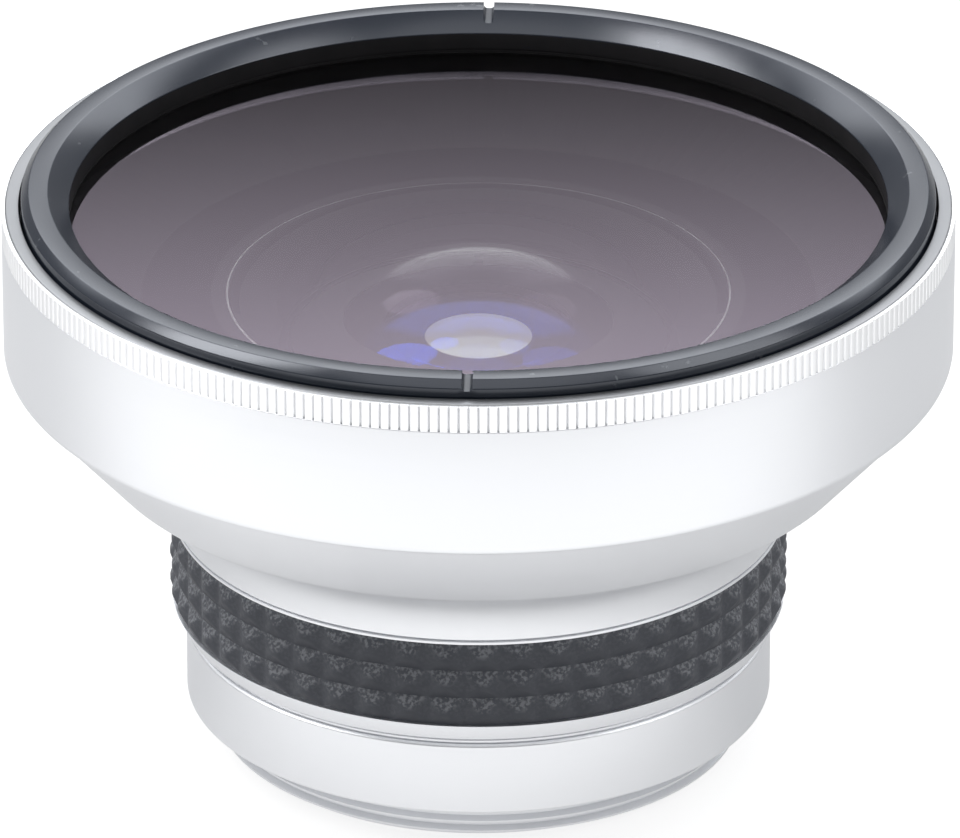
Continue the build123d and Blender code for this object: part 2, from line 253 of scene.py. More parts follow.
def screw_thread():
    """Tree of one helical ridge round the axis, which swells from nothing at both its ends."""
    tree, *ends = new_tree("screw_thread", [
        "Core Radius", "Pitch", "Turns", "Bottom", "Base", "Crest", "Depth",
    ])
    given = ends[0].outputs
    height = calc(tree, "MULTIPLY", given["Pitch"], given["Turns"])
    helix = node(tree, "GeometryNodeCurveSpiral", {
        "Resolution": thread_steps, "Rotations": given["Turns"], "Start Radius": given["Core Radius"],
        "End Radius": given["Core Radius"], "Height": height,
    })
    lift = node(tree, "ShaderNodeCombineXYZ", {2: given["Bottom"]}).outputs[0]
    raised = node(tree, "GeometryNodeTransform", {"Geometry": helix.outputs[0], "Translation": lift})
    upright = node(tree, "GeometryNodeSetCurveNormal", {"Curve": raised.outputs[0]})
    upright.mode = "Z_UP"
    along = node(tree, "GeometryNodeSplineParameter").outputs["Factor"]
    from_end = calc(tree, "MULTIPLY", calc(tree, "PINGPONG", along, 0.5), thread_end_rate)
    swell = calc(tree, "MINIMUM", calc(tree, "MAXIMUM", from_end, thread_end_floor), 1)
    swelling = node(tree, "GeometryNodeSetCurveRadius", {"Curve": upright.outputs[0], "Radius": swell})
    section = node(tree, "GeometryNodeCurvePrimitiveQuadrilateral", {
        "Height": given["Depth"], "Bottom Width": given["Base"], "Top Width": given["Crest"], "Offset": 0.0,
    }, mode="TRAPEZOID")
    half_depth = calc(tree, "MULTIPLY", given["Depth"], -0.5)
    out = node(tree, "ShaderNodeCombineXYZ", {0: half_depth}).outputs[0]
    turned_out = node(tree, "GeometryNodeTransform", {
        "Geometry": section.outputs[0], "Translation": out, "Rotation": (0, 0, radians(90))})
    ridge = node(tree, "GeometryNodeCurveToMesh", {
        "Curve": swelling.outputs[0], "Profile Curve": turned_out.outputs[0], "Fill Caps": True})
    close_tree(tree, ends, ridge.outputs[0])
    return tree


thread_radius = 18.5 * mm
thread_pitch = 0.75 * mm
thread_depth = 0.46 * mm
thread_turns = 3.0
thread_bottom = 0.5 * mm
thread_length = 3.2 * mm
thread_bevel = 1.05 * mm
thread_bevel_slope = 0.8
thread_base_share = 0.86
thread_crest_share = 0.2
thread_sink = 0.02 * mm
thread_steps = 96
thread_end_rate = 10
thread_end_floor = 0.05
mount_opening = 16.3 * mm
mount_bore = 19.15 * mm
mount_floor = 4.35 * mm
mount_edge_bevel = 0.15 * mm
mount_top_bevel = 0.16 * mm
fine_ease = 0.06 * mm
satin_dull = (0.85, 0.86, 0.885)
satin_bright = (0.89, 0.90, 0.92)
satin_roughness = (0.38, 0.46)
cloud_grains = 90
blasting_grains = 6500
blasting_strength = 0.12
blasting_depth = 0.02 * mm
turning_grains = 30
turning_stretch = (1, 1, 400)
turning_share = 0.6

aluminium = satin_aluminium("satin_aluminium", satin_dull, satin_bright)
foot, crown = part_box("mount_ring")
core_radius = thread_radius - thread_depth
bevel_height = (thread_bevel - thread_depth) * thread_bevel_slope
mount_ring = turned(
    "mount_ring_body",
    (mount_opening, foot.z),
    (aluminium, [
        (thread_radius - thread_bevel, foot.z),
        (core_radius, bevel_height),
        (core_radius, thread_length - thread_pitch / 2),
        (thread_radius - thread_pitch, thread_length - thread_pitch / 2),
        (thread_radius - thread_pitch, thread_length),
        (crown.x - mount_edge_bevel, thread_length),
        (crown.x, thread_length + mount_edge_bevel),
        (crown.x, crown.z - mount_top_bevel),
        (crown.x - mount_top_bevel, crown.z),
        (mount_bore, crown.z),
        (mount_bore, mount_floor),
        (mount_opening, mount_floor),
    ]),
    ease=fine_ease,
)
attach(mount_ring, "mount_section")
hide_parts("mount_ring")

mount_thread = placed("mount_thread", bpy.data.meshes.new("mount_thread"))
grown(
    mount_thread, screw_thread(), core_radius=core_radius - thread_sink, pitch=thread_pitch,
    turns=thread_turns, bottom=thread_bottom, base=thread_pitch * thread_base_share,
    crest=thread_pitch * thread_crest_share, depth=thread_depth, finish=aluminium,
)
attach(mount_thread, "mount_section")
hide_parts("mount_ring")


# Mount shim: a thin aluminium ring that closes the groove between the mount ring and the rear
# barrel. It is stamped from sheet and lies loose on the mount ring.

def flat_ring(name, finish, cad_node, inner_radius):
    """Plain ring that fills the height and the outer radius of its node."""
    low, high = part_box(cad_node)
    return turned(
        name, (inner_radius, low.z), (finish, [(high.x, low.z), (high.x, high.z), (inner_radius, high.z)]),
        ease=fine_ease, segments=ring_segments,
    )


mount_shim = flat_ring("mount_shim_ring", aluminium, "mount_washer", mount_bore)
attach(mount_shim, "mount_shim")
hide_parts("mount_washer")


# Rear barrel: a turned aluminium tube. Its tenon screws into the mount ring, its middle carries the
# rubber grip between a bevelled shoulder and a narrow strip, and its mouth takes the front section.

def black_anodised():
    """Black dyed anodised aluminium: near black, a tight sheen and a little dust."""
    made, tree, skin = new_material(
        "black_anodised", Specular_IOR_Level=dye_sheen, Specular_Tint=(*dye_sheen_tint, 1))
    specks = ranged(tree, grain(tree, speck_grains, 3), *speck_range, 0.0, speck_share)
    socket_values(skin, {
        "Base Color": blended(tree, specks, dye_black, speck_grey),
        "Roughness": ranged(tree, grain(tree, dye_grains, 3), *noise_spread, *dye_roughness),
    })
    bumpy(tree, skin, grain(tree, etching_grains, 2), etching_strength, etching_depth)
    return made


dye_black = (0.011, 0.015, 0.024)
dye_sheen = 0.8
dye_sheen_tint = (0.9, 0.93, 1.0)
dye_roughness = (0.20, 0.27)
dye_grains = 160
speck_grey = (0.13, 0.14, 0.15)
speck_grains = 900
speck_range = (0.69, 0.74)
speck_share = 0.5
etching_grains = 5000
etching_strength = 0.1
etching_depth = 0.01 * mm
rear_doublet_bore = 16.58 * mm
rear_seat_opening = 14.6 * mm
rear_seat_thickness = 1.0 * mm
rear_mouth_floor = 12.95 * mm
section_bore = 19.85 * mm
grip_seat = 20.85 * mm
strip_radius = 21.5 * mm
shoulder_bevel = 0.65 * mm
underside_width = 0.7 * mm
underside_height = 0.4 * mm
tenon_radius = 19.1 * mm

black = black_anodised()
low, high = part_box("rear_barrel")
grip_low, grip_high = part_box("rubber_grip")
shoulder_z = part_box("mount_washer")[1].z
seat_z = rear_mouth_floor - rear_seat_thickness
rear_barrel = turned(
    "rear_barrel_body",
    (rear_doublet_bore, low.z),
    (aluminium, [
        (tenon_radius, low.z),
        (tenon_radius, shoulder_z),
        (high.x - shoulder_bevel - underside_width, shoulder_z),
        (high.x - shoulder_bevel, shoulder_z + underside_height),
        (high.x, grip_low.z),
        (grip_seat, grip_low.z),
        (grip_seat, grip_high.z),
        (strip_radius, grip_high.z),
        (strip_radius, high.z),
        (section_bore, high.z),
        (section_bore, rear_mouth_floor),
    ]),
    (black, [
        (rear_seat_opening, rear_mouth_floor),
        (rear_seat_opening, seat_z),
        (rear_doublet_bore, seat_z),
    ]),
    ease=fine_ease,
)
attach(rear_barrel, "rear_section")
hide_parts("rear_barrel")


# Rubber grip: a moulded black sleeve stretched over the rear barrel, with three rows of small square
# pyramids. The moulding is soft, so no two are quite alike. Up-facing faces are paler: dust and painted
# light.

def raised_pattern():
    """Tree that raises a turned skin in rows and columns of bosses, level with the skin at their edges."""
    tree, *ends = new_tree("raised_pattern", [
        "Skin Radius", "Bottom", "Row Height", "Columns", "Turn", "Boss Height", "Column Slope", "Row Slope",
        "Top Share", "Softness", "Unevenness", "Grain",
    ])
    given = ends[0].outputs
    place = node(tree, "GeometryNodeInputPosition").outputs[0]
    split = node(tree, "ShaderNodeSeparateXYZ", {0: place}).outputs
    angle = calc(tree, "SUBTRACT", calc(tree, "ARCTAN2", split["Y"], split["X"]), given["Turn"])
    column = calc(tree, "MULTIPLY", calc(tree, "DIVIDE", angle, 2 * pi), given["Columns"])
    row = calc(tree, "DIVIDE", calc(tree, "SUBTRACT", split["Z"], given["Bottom"]), given["Row Height"])
    slopes = []
    for cell, slope in ((column, given["Column Slope"]), (row, given["Row Slope"])):
        from_edge = calc(tree, "PINGPONG", cell, 0.5)
        slopes.append(calc(tree, "MULTIPLY", from_edge, calc(tree, "MULTIPLY", slope, 2)))
    pointed = calc(tree, "SMOOTH_MIN", *slopes, given["Softness"])
    boss = calc(tree, "SMOOTH_MIN", pointed, given["Top Share"], given["Softness"])
    noise = node(tree, "ShaderNodeTexNoise", {"Vector": place, "Scale": given["Grain"], "Detail": 3.0})
    uneven = calc(tree, "MULTIPLY", calc(tree, "SUBTRACT", noise.outputs[0], 0.5), given["Unevenness"])
    height = calc(tree, "MULTIPLY", calc(tree, "ADD", boss, uneven), given["Boss Height"])
    flat = node(tree, "ShaderNodeCombineXYZ", {0: split["X"], 1: split["Y"]}).outputs[0]
    outwards = node(tree, "ShaderNodeVectorMath", {0: flat}, operation="NORMALIZE").outputs[0]
    radius = node(tree, "ShaderNodeVectorMath", {0: flat}, operation="LENGTH").outputs["Value"]
    offset = node(tree, "ShaderNodeVectorMath", {0: outwards, "Scale": height}, operation="SCALE").outputs[0]
    on_skin = calc(tree, "GREATER_THAN", radius, given["Skin Radius"])
    raised = node(tree, "GeometryNodeSetPosition", {
        "Geometry": given["Geometry"], "Selection": on_skin, "Offset": offset})
    close_tree(tree, ends, raised.outputs[0])
    return tree


def dusty_rubber():
    """Black rubber: matt, finely pitted, paler on the faces that look up: dust and painted light."""
    made, tree, skin = new_material("dusty_rubber", Specular_IOR_Level=rubber_sheen)
    normal = node(tree, "ShaderNodeNewGeometry").outputs["Normal"]
    up = node(tree, "ShaderNodeSeparateXYZ", {0: normal}).outputs["Z"]
    patches = ranged(tree, grain(tree, dust_grains, 10), *dust_range, dust_thinnest, 1.0)
    # Faces that look up get the pale grey: partly dust in patches, partly painted light on the top faces.
    dust_and_top_light = calc(tree, "MULTIPLY", ranged(tree, up, *dust_and_top_light_slopes, 0.0, dust_and_top_light_share), patches)
    socket_values(skin, {
        "Base Color": blended(tree, dust_and_top_light, rubber_black, dust_and_top_light_grey),
        "Roughness": ranged(tree, grain(tree, rubber_grains, 3), *noise_spread, *rubber_roughness),
    })
    bumpy(tree, skin, grain(tree, pit_grains, 4), pit_strength, pit_depth)
    return made


rubber_black = (0.082, 0.087, 0.102)
rubber_sheen = 0.36
rubber_roughness = (0.42, 0.60)
rubber_grains = 2200
dust_and_top_light_grey = (0.40, 0.41, 0.43)
dust_and_top_light_share = 0.55
dust_thinnest = 0.12
dust_and_top_light_slopes = (-0.05, 0.40)
dust_range = (0.45, 0.60)
dust_grains = 4200
pit_grains = 2600
pit_strength = 0.5
pit_depth = 0.05 * mm
grip_rows = 3
grip_columns = 52
grip_steps = 14
grip_bore = 20.9 * mm
grip_sleeve = 0.44 * mm
pyramid_height = 0.46 * mm
grip_turn = radians(-92.66)

rubber = dusty_rubber()
grip_base = grip_bore + grip_sleeve
row_height = (grip_high.z - grip_low.z) / grip_rows
skin_points = [
    (grip_base, grip_low.z + row_height * step / grip_steps)
    for step in range(1, grip_rows * grip_steps + 1)
]
rubber_grip = turned(
    "rubber_grip_sleeve",
    (grip_bore, grip_low.z),
    (rubber, [(grip_base, grip_low.z), *skin_points, (grip_bore, grip_high.z)]),
    segments=grip_columns * grip_steps,
)
boss_tree = raised_pattern()
grown(
    rubber_grip, boss_tree, skin_radius=(grip_bore + grip_base) / 2, bottom=grip_low.z, row_height=row_height,
    columns=grip_columns, turn=grip_turn, boss_height=pyramid_height, column_slope=1.15, row_slope=1.15,
    top_share=0.93, softness=0.03, unevenness=0.16, grain=420.0, finish=rubber,
)
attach(rubber_grip, "rear_section")
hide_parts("rubber_grip")


# Rear doublet: two glasses cemented together, held against the barrel's seat by a thin spacer in
# front, a black baffle behind and a slotted retaining ring that is screwed in from behind.

def polished_glass(name, tint, sheen=0.5):
    """Clear polished glass with a coating that colours what it reflects."""
    made, tree, skin = new_material(
        name, Roughness=0.0, IOR=glass_ior, Transmission_Weight=1.0, Specular_IOR_Level=sheen,
        Specular_Tint=(*tint, 1))
    socket_values(skin, {"Base Color": blended(tree, grain(tree, glass_grains), *glass_clears)})
    return made


def black_paint():
    """Dead matt black: the paint on ground edges and inside the barrels, and also the soft washers."""
    made, tree, skin = new_material("black_paint", Roughness=paint_roughness, Specular_IOR_Level=paint_sheen)
    socket_values(skin, {"Base Color": blended(tree, grain(tree, paint_grains), *paint_blacks)})
    return made


def lens_face(radius, bulge, rim_z, steps=24):
    """Points of a ball-shaped lens face from its rim to its middle, which stands bulge above the rim."""
    curve = (radius ** 2 + bulge ** 2) / (2 * abs(bulge))
    middle_z = rim_z + bulge
    side = 1 if bulge > 0 else -1
    radii = [radius * (1 - step / steps) for step in range(steps + 1)]
    return [(r, middle_z - side * (curve - sqrt(curve ** 2 - r ** 2))) for r in radii]


def slotted(ring, outer_radius, face_z, width, depth, turn=0.0, corner=0.0):
    """Cuts two opposite spanner slots across a ring's face, with square or round corners."""
    steps = slot_corner_steps if corner else 0
    outline = []
    for quarter, (side, up) in enumerate(((1, 1), (-1, 1), (-1, -1), (1, -1))):
        for step in range(steps + 1):
            angle = radians(90) * (quarter + step / max(steps, 1))
            across = side * (width / 2 - corner) + corner * cos(angle)
            outline.append((across, face_z + up * (depth - corner) + corner * sin(angle)))
    points = []
    for along in (-slot_reach * outer_radius, slot_reach * outer_radius):
        for across, height in outline:
            points.append((
                across * cos(turn) - along * sin(turn), across * sin(turn) + along * cos(turn), height))
    count = len(outline)
    faces = [tuple(range(count)), tuple(range(count, 2 * count))[::-1]]
    for i in range(count):
        after = (i + 1) % count
        faces.append((after, i, i + count, after + count))
    bar = bpy.data.meshes.new("slot_cutter")
    bar.from_pydata(points, [], faces)
    cut(ring, bar)


def cut(piece, cutter_mesh):
    """Takes a cutter's volume out of a piece."""
    cutter = bpy.data.objects.new("cutter", cutter_mesh)
    bpy.context.scene.collection.objects.link(cutter)
    modifier = piece.modifiers.new("cut", "BOOLEAN")
    modifier.operation = "DIFFERENCE"
    modifier.solver = "EXACT"
    modifier.object = cutter
    plain_mesh(piece)
    bpy.data.objects.remove(cutter)


glass_ior = 1.52
glass_clears = ((0.97, 0.98, 0.98), (0.99, 0.99, 0.985))
glass_grains = 40
paint_blacks = ((0.010, 0.010, 0.011), (0.020, 0.019, 0.020))
paint_grains = 500
paint_roughness = 0.85
paint_sheen = 0.2
rear_tint = (0.75, 0.85, 1.0)
lens_seat_width = 1.0 * mm
crown_bulge = 0.93 * mm
rear_spacer_width = 0.85 * mm
rear_baffle_width = 2.3 * mm
inner_ring_width = 1.75 * mm
slot_width = 1.0 * mm
slot_depth = 0.7 * mm
slot_reach = 1.2
slot_corner_steps = 6

rear_glass = polished_glass("rear_glass", rear_tint)
paint = black_paint()
flint_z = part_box("rear_flint")[0].z
crown_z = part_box("rear_spacer")[0].z
doublet_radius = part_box("rear_flint")[1].x
clear_radius = doublet_radius - lens_seat_width
doublet = turned(
    "rear_doublet",
    (0, flint_z),
    (rear_glass, [(clear_radius, flint_z)]),
    (paint, [(doublet_radius, flint_z), (doublet_radius, crown_z), (clear_radius, crown_z)]),
    (rear_glass, lens_face(clear_radius, crown_bulge, crown_z)[1:]),
)
rear_spacer = flat_ring("rear_spacer_ring", black, "rear_spacer", doublet_radius - rear_spacer_width)
rear_baffle = flat_ring("rear_baffle_ring", paint, "rear_baffle", doublet_radius - rear_baffle_width)
screw_low, screw_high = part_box("rear_retaining_ring")
rear_opening = screw_high.x - inner_ring_width
rear_ring = flat_ring("rear_retaining_ring_body", black, "rear_retaining_ring", rear_opening)
slotted(rear_ring, screw_high.x, screw_low.z, slot_width, slot_depth)
for piece, stood_for, slot in (
    (doublet, ("rear_crown", "rear_flint"), "coated_glass"),
    (rear_spacer, ("rear_spacer",), "black_anodised"),
    (rear_baffle, ("rear_baffle",), "black_anodised"),
    (rear_ring, ("rear_retaining_ring",), "black_anodised"),
):
    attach(piece, "rear_section")
    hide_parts(*stood_for)


# Section shim: the thin aluminium washer on which the front section lands when it is screwed home.
# It is stamped from sheet and lies loose on the rear barrel's mouth.

section_shim = flat_ring("section_shim_ring", aluminium, "section_washer", section_bore)
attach(section_shim, "section_shim")
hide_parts("section_washer")


# Front barrel: the drum, the cone and the coved neck, turned in one piece and satin anodised.
# Inside it is stepped for the cell, the front glass and the retaining ring, and blackened.

drum_radius = 33.2 * mm
neck_radius = 21.5 * mm
neck_strip_height = 0.1 * mm
drum_segments = 384
cove_height = 5.55 * mm
cove_width = 5.3 * mm
cove_middle_share = 0.36
step_width = 0.27 * mm
step_height = 0.24 * mm
cone_height = 6.26 * mm
drum_edge_width = 0.6 * mm
drum_edge_height = 0.7 * mm
edge_middle_share = 0.33
knurl_height = 1.85 * mm
knurl_depth = 0.22 * mm
lip_bevel = 0.12 * mm
ring_bore = 31.98 * mm
glass_bore = 30.58 * mm
cell_bore = 18.35 * mm
cell_ledge = 1.0 * mm
cell_ledge_opening = 16.4 * mm
section_tenon = 19.8 * mm
# Painted shade: the lip and the bore beside the front ring get a dark grey copy of the barrel's pale
# aluminium, for the shade and dark reflection there.
lip_shade_dull = (0.25, 0.255, 0.265)
lip_shade_bright = (0.33, 0.335, 0.345)

lip_painted_shade_metal = satin_aluminium("turned_lip", lip_shade_dull, lip_shade_bright)
low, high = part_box("front_barrel")
neck_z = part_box("section_washer")[1].z
lip_z = high.z
glass_low, glass_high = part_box("front_element")
ring_low, ring_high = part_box("front_retaining_ring")
glass_edge_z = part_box("ring_gasket")[0].z
gasket_low, gasket_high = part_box("front_gasket")
glass_face = gasket_high.x
cove_z = neck_z + neck_strip_height
step_z = cove_z + cove_height
cone_z = step_z + step_height
edge_z = cone_z + cone_height
step_radius = neck_radius + cove_width
edge_radius = drum_radius - drum_edge_width
knurl_top = lip_z - lip_bevel
knurl_bottom = knurl_top - knurl_height
knurl_root = drum_radius - knurl_depth
cove_middle = (neck_radius + cove_width * cove_middle_share, step_z - cove_height * cove_middle_share)
edge_middle = (
    drum_radius - drum_edge_width * edge_middle_share, edge_z + drum_edge_height * edge_middle_share)
front_barrel = turned(
    "front_barrel_body",
    (cell_ledge_opening, low.z),
    (aluminium, [
        (section_tenon, low.z),
        (section_tenon, neck_z),
        (neck_radius, neck_z),
        (neck_radius, cove_z),
        *arc((neck_radius, cove_z), cove_middle, (step_radius, step_z), steps=14),
        (step_radius + step_width, cone_z),
        (edge_radius, edge_z),
        *arc((edge_radius, edge_z), edge_middle, (drum_radius, edge_z + drum_edge_height), steps=6),
        (drum_radius, knurl_bottom),
        (knurl_root, knurl_bottom),
        (knurl_root, knurl_top),
    ]),
    # Painted shade: the lip and the bore under the ring take the dark grey metal.
    (lip_painted_shade_metal, [
        (knurl_root - lip_bevel, lip_z),
        (ring_bore, lip_z),
        (ring_bore, glass_edge_z),
    ]),
    (paint, [
        (glass_bore, glass_edge_z),
        (glass_bore, glass_low.z + glass_bore - glass_face),
        (glass_face, glass_low.z),
        (glass_face, gasket_low.z),
        (cell_bore, gasket_low.z),
        (cell_bore, low.z + cell_ledge),
        (cell_ledge_opening, low.z + cell_ledge),
    ]),
    ease=fine_ease,
    segments=drum_segments,
)
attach(front_barrel, "front_section")
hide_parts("front_barrel")


# Knurl: fine straight ridges rolled into the drum just below its lip, for the fingers. They are
# part of the barrel's metal, blunt on top and rounded off at both ends.

knurl_ridges = 312
knurl_steps = 8
knurl_rows = 12
# Painted highlight: the knurl's metal is paler than the drum's, for the light its ridges catch.
knurl_lit_dull = (0.96, 0.965, 0.975)
knurl_lit_bright = (0.98, 0.985, 0.995)

knurl_highlight_metal = satin_aluminium("knurled_aluminium", knurl_lit_dull, knurl_lit_bright)
skin_points = [
    (knurl_root, knurl_bottom + knurl_height * step / knurl_rows)
    for step in range(1, knurl_rows + 1)
]
knurl = turned(
    "front_barrel_knurl",
    (knurl_root - lip_bevel, knurl_bottom),
    (knurl_highlight_metal, [(knurl_root, knurl_bottom), *skin_points, (knurl_root - lip_bevel, knurl_top)]),
    segments=knurl_ridges * knurl_steps,
)
grown(
    knurl, boss_tree, skin_radius=knurl_root - lip_bevel / 2, bottom=knurl_bottom - knurl_height / 2,
    row_height=2 * knurl_height, columns=knurl_ridges, turn=0.0, boss_height=knurl_depth, column_slope=3.4,
    row_slope=7.0, top_share=0.97, softness=0.12, unevenness=0.06, grain=900.0, finish=knurl_highlight_metal,
)
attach(knurl, "front_section")
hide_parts("front_barrel")


# Inner cell: a blackened cup that rests on the ledge at the bottom of the front barrel. It holds a
# thin black stop, the second glass, a soft washer and a slotted retaining ring.

cell_wall = 1.4 * mm
cell_floor = 0.9 * mm
cell_seat_opening = 15.4 * mm
stop_opening = 5.42 * mm
stop_thickness = 0.3 * mm
stop_flange_width = 3.8 * mm
second_dish_radius = 8.6 * mm
second_dish_depth = 2.19 * mm
second_bulge = 3.0 * mm
second_washer_width = 1.5 * mm
second_ring_wall = 1.95 * mm
second_ring_width = 4.7 * mm
second_ring_lip = 0.35 * mm
second_tint = (0.0, 0.10, 1.0)
second_sheen = 0.9

low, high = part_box("inner_cell")
inner_cell = turned(
    "inner_cell_cup",
    (cell_seat_opening, low.z),
    (paint, [
        (high.x, low.z),
        (high.x, high.z),
        (high.x - cell_wall, high.z),
        (high.x - cell_wall, low.z + cell_floor),
        (cell_seat_opening, low.z + cell_floor),
    ]),
    ease=fine_ease,
)
stop_low, stop_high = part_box("aperture_stop")
stop_flange = stop_high.x - stop_flange_width
stop = turned(
    "aperture_stop_plate",
    (stop_opening, stop_low.z),
    (paint, [
        (stop_flange, stop_high.z - stop_thickness),
        (stop_high.x, stop_high.z - stop_thickness),
        (stop_high.x, stop_high.z),
        (stop_flange, stop_high.z),
        (stop_opening, stop_low.z + stop_thickness),
    ]),
)
second_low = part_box("second_element")[0]
second_glass_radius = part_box("second_element")[1].x
second_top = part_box("second_washer")[0].z
second_face = second_glass_radius - second_washer_width
second_glass = polished_glass("second_glass_coated", second_tint, second_sheen)
second_element = turned(
    "second_element_glass",
    (0, second_low.z + second_dish_depth),
    (second_glass, lens_face(second_dish_radius, second_dish_depth, second_low.z)[::-1][1:]),
    (paint, [
        (second_glass_radius, second_low.z),
        (second_glass_radius, second_top),
        (second_face, second_top),
    ]),
    (second_glass, lens_face(second_face, second_bulge, second_top)[1:]),
)
second_washer = flat_ring("second_washer_ring", paint, "second_washer", second_face)
screw_low, screw_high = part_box("second_retaining_ring")
second_ring = turned(
    "second_retaining_ring_body",
    (screw_high.x - second_ring_wall, screw_low.z),
    (paint, [
        (screw_high.x, screw_low.z),
        (screw_high.x, screw_high.z),
        (screw_high.x - second_ring_width, screw_high.z),
        (screw_high.x - second_ring_width, screw_high.z - second_ring_lip),
        (screw_high.x - second_ring_wall, screw_high.z - second_ring_lip),
    ]),
    ease=fine_ease,
)
slotted(second_ring, screw_high.x, screw_high.z, slot_width, slot_depth)
for piece, stood_for, slot in (
    (inner_cell, "inner_cell", "black_anodised"),
    (stop, "aperture_stop", "black_anodised"),
    (second_element, "second_element", "coated_glass"),
    (second_washer, "second_washer", "soft_gasket"),
    (second_ring, "second_retaining_ring", "black_anodised"),
):
    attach(piece, "front_section")
    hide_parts(stood_for)


# Front glass: a heavy piece of crown glass with a nearly flat front and a deep round dish ground
# into its back. Its edge and bevel are painted black, and the dish's rim is left finely ground.

def ground_glass():
    """Finely ground glass, left unpainted: a pale grey line."""
    made, tree, skin = new_material("ground_glass", Roughness=ground_roughness)
    socket_values(skin, {"Base Color": blended(tree, grain(tree, ground_grains), *ground_greys)})
    return made


front_tint = (0.92, 0.52, 0.96)
dish_tint = (0.1, 0.07, 0.12)
ground_greys = ((0.45, 0.45, 0.47), (0.70, 0.70, 0.72))
ground_grains = 1500
ground_roughness = 0.6
dish_radius = 17.5 * mm
dish_depth = 9.25 * mm
dish_bevel = 0.12 * mm
glass_bevel = 0.2 * mm
ring_cover = 3.34 * mm
gasket_step = 0.15 * mm

front_glass = polished_glass("front_glass_coated", front_tint)
dish_glass = polished_glass("front_dish_coated", dish_tint)
glass_radius = glass_high.x
front_face = ring_high.x - ring_cover
bevel_z = glass_low.z + glass_radius - glass_face
dish_points = lens_face(
    dish_radius - dish_bevel, dish_depth - dish_bevel, glass_low.z + dish_bevel, steps=40)
front_element = turned(
    "front_element_glass",
    (0, glass_low.z + dish_depth),
    (dish_glass, dish_points[::-1][1:]),
    (ground_glass(), [(dish_radius, glass_low.z)]),
    (paint, [
        (glass_face, glass_low.z),
        (glass_radius, bevel_z),
        (glass_radius, glass_edge_z - glass_bevel),
        (glass_radius - glass_bevel, glass_edge_z),
        (front_face, glass_edge_z),
    ]),
    (front_glass, lens_face(front_face, glass_high.z - glass_edge_z, glass_edge_z, steps=30)[1:]),
)
front_gasket = flat_ring("front_gasket_ring", paint, "front_gasket", cell_bore + gasket_step)
for piece, stood_for, slot in (
    (front_element, "front_element", "coated_glass"),
    (front_gasket, "front_gasket", "soft_gasket"),
):
    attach(piece, "front_section")
    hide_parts(stood_for)


# Front retaining ring: black anodised aluminium, screwed into the drum over a thin soft ring. Its
# inner bevel slopes down to the glass, and two spanner notches cross its top.

ring_outer_bevel = 0.52 * mm
ring_flat = 1.36 * mm
ring_slope = 1.46 * mm
ring_slope_drop = 1.2 * mm
notch_width = 0.75 * mm
notch_depth = 0.69 * mm
notch_corner = 0.25 * mm
notch_turn = radians(-1.4)
gasket_set_back = 0.05 * mm

flat_outer = ring_high.x - ring_outer_bevel
flat_inner = flat_outer - ring_flat
ring_inner = flat_inner - ring_slope
ring_gasket = flat_ring("ring_gasket_ring", paint, "ring_gasket", ring_inner + gasket_set_back)
front_ring = turned(
    "front_retaining_ring_body",
    (ring_inner, ring_low.z),
    (black, [
        (ring_high.x, ring_low.z),
        (ring_high.x, ring_high.z - ring_outer_bevel),
        (flat_outer, ring_high.z),
        (flat_inner, ring_high.z),
        (ring_inner, ring_high.z - ring_slope_drop),
    ]),
    # Painted shade: the ring's inner wall closes in dead matt black paint, for the shadow that lies on it.
    (paint, []),
    ease=fine_ease,
    segments=drum_segments,
)
slotted(front_ring, ring_high.x, ring_high.z, notch_width, notch_depth, notch_turn, notch_corner)
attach(ring_gasket, "ring_shim")
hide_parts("ring_gasket")
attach(front_ring, "front_ring")
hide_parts("front_retaining_ring")


# Studio: a white floor that reads as white to the camera and keeps the object's shadow, softboxes
# high at the left, the right and the front, and a pale room whose back wall brightens upwards.

def studio_floor():
    """White floor: the lamps light it, it glows a little to camera and mirrors, and is clear from below."""
    made = bpy.data.materials.new("studio_floor")
    made.use_nodes = True
    tree = made.node_tree
    tree.nodes.clear()
    path = node(tree, "ShaderNodeLightPath").outputs
    position = node(tree, "ShaderNodeTexCoord").outputs["Object"]
    place = node(tree, "ShaderNodeSeparateXYZ", {0: position}).outputs
    depth = calc(tree, "ADD", place["Y"], calc(tree, "MULTIPLY", place["X"], floor_lean))
    # Painted light: to mirrors the floor glows of itself, brighter in front of the object than behind it, and
    # less when seen through the glass, which darkens the lens's middle.
    front = ranged(tree, depth, *floor_depths, *floor_mirrored)
    mirror = calc(tree, "MULTIPLY_ADD", path["Is Transmission Ray"], -floor_glow_cut_through_glass, path["Is Glossy Ray"])
    seen = calc(tree, "MULTIPLY", path["Is Camera Ray"], floor_seen)
    mirrored = calc(tree, "MULTIPLY", mirror, front)
    own = calc(tree, "ADD", seen, mirrored)
    paper = node(tree, "ShaderNodeBsdfDiffuse", {"Color": (*floor_paper, 1)})
    glow = node(tree, "ShaderNodeEmission", {"Color": (1, 1, 1, 1), "Strength": own})
    both = node(tree, "ShaderNodeAddShader", {0: paper.outputs[0], 1: glow.outputs[0]})
    below = node(tree, "ShaderNodeNewGeometry").outputs["Backfacing"]
    clear = node(tree, "ShaderNodeBsdfTransparent")
    one_sided = node(tree, "ShaderNodeMixShader", {0: below, 1: both.outputs[0], 2: clear.outputs[0]})
    node(tree, "ShaderNodeOutputMaterial", {"Surface": one_sided.outputs[0]})
    return made


floor_half = 3.0
floor_drop = 0.01 * mm
floor_paper = (0.30, 0.30, 0.30)
floor_seen = 0.78
floor_mirrored = (0.79, 0.32)
floor_depths = (-34 * mm, 0.0)
floor_lean = 0.1
floor_glow_cut_through_glass = 0.45

floor_mesh = bpy.data.meshes.new("floor")
floor_mesh.from_pydata(
    [(x * floor_half, y * floor_half, -floor_drop) for x, y in ((-1, -1), (1, -1), (1, 1), (-1, 1))],
    [], [(0, 1, 2, 3)])
floor_mesh.materials.append(studio_floor())
floor = bpy.data.objects.new("floor", floor_mesh)
bpy.context.scene.collection.objects.link(floor)

